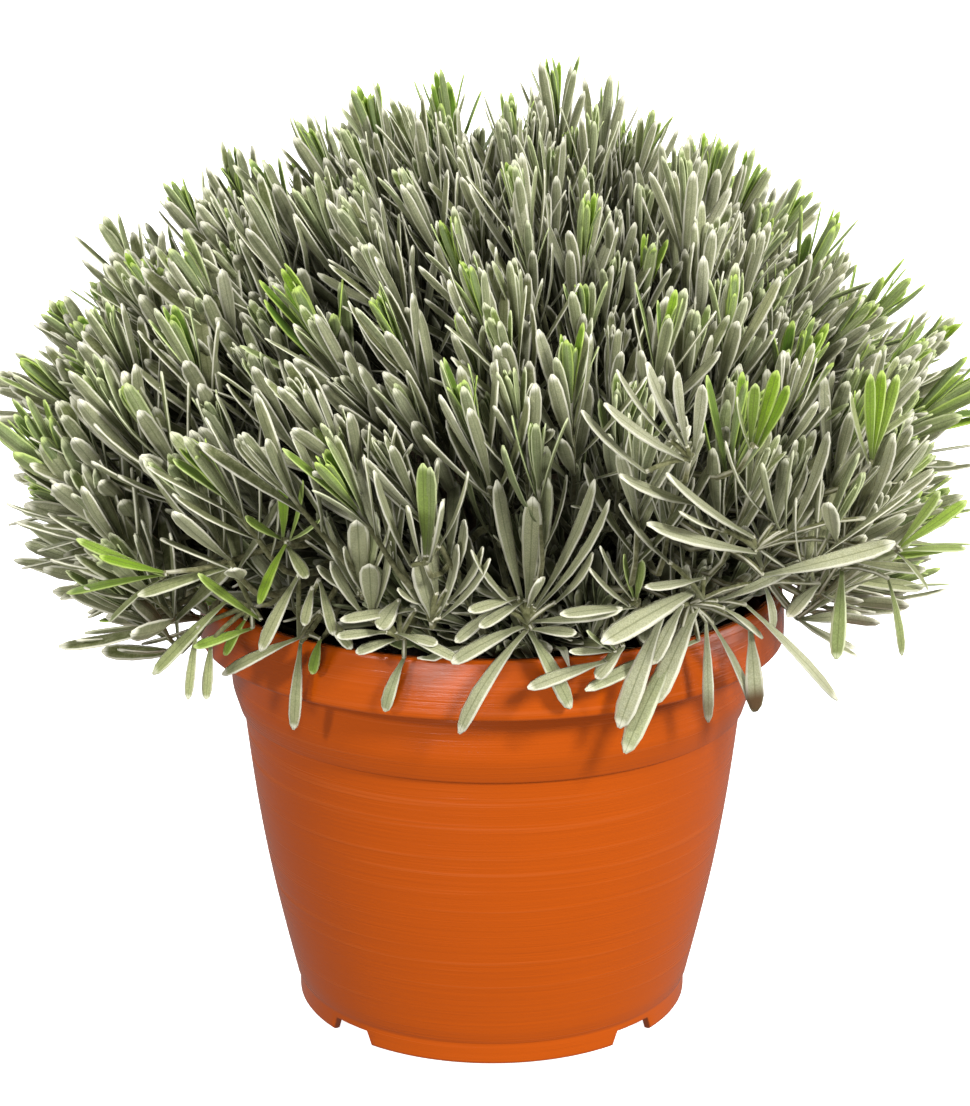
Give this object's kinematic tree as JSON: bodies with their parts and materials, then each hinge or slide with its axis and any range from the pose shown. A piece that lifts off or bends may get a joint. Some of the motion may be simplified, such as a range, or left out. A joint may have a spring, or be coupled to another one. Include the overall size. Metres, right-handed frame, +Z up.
{
  "type": "potted lavender",
  "caption": "Bushy lavender plant, not in flower, with narrow grey-green leaves, in a round plastic nursery pot with an overhanging rim and a notched foot.",
  "frame": {"origin": "on the ground, at the centre of the pot's foot", "axes": "+Z up along the pot's axis; the side most often seen faces -Y"},
  "size_m": [0.3276, 0.3386, 0.3184],
  "materials": {
    "pot_plastic": "satin",
    "potting_mix": "matte",
    "bark": "matte",
    "foliage": "matte"
  },
  "bodies": {
    "root": {"pot": "pot_plastic", "potting_mix": "potting_mix", "woody_crown": "bark", "bough_01": "foliage", "bough_02": "foliage", "bough_03": "foliage", "bough_04": "foliage", "bough_05": "foliage", "bough_06": "foliage", "bough_07": "foliage", "bough_08": "foliage", "bough_09": "foliage", "bough_10": "foliage", "bough_11": "foliage", "bough_12": "foliage", "bough_13": "foliage", "bough_14": "foliage", "bough_15": "foliage", "bough_16": "foliage", "bough_17": "foliage", "bough_18": "foliage", "bough_19": "foliage", "bough_20": "foliage", "bough_21": "foliage", "bough_22": "foliage", "bough_23": "foliage", "bough_24": "foliage", "bough_25": "foliage", "bough_26": "foliage", "bough_27": "foliage", "bough_28": "foliage", "bough_29": "foliage", "bough_30": "foliage", "bough_31": "foliage", "bough_32": "foliage", "bough_33": "foliage", "bough_34": "foliage", "bough_35": "foliage", "bough_36": "foliage", "bough_37": "foliage", "bough_38": "foliage", "bough_39": "foliage", "bough_40": "foliage", "bough_41": "foliage", "bough_42": "foliage", "bough_43": "foliage", "bough_44": "foliage", "bough_45": "foliage", "bough_46": "foliage", "bough_47": "foliage", "bough_48": "foliage", "bough_49": "foliage", "bough_50": "foliage"}
  },
  "joints": []
}
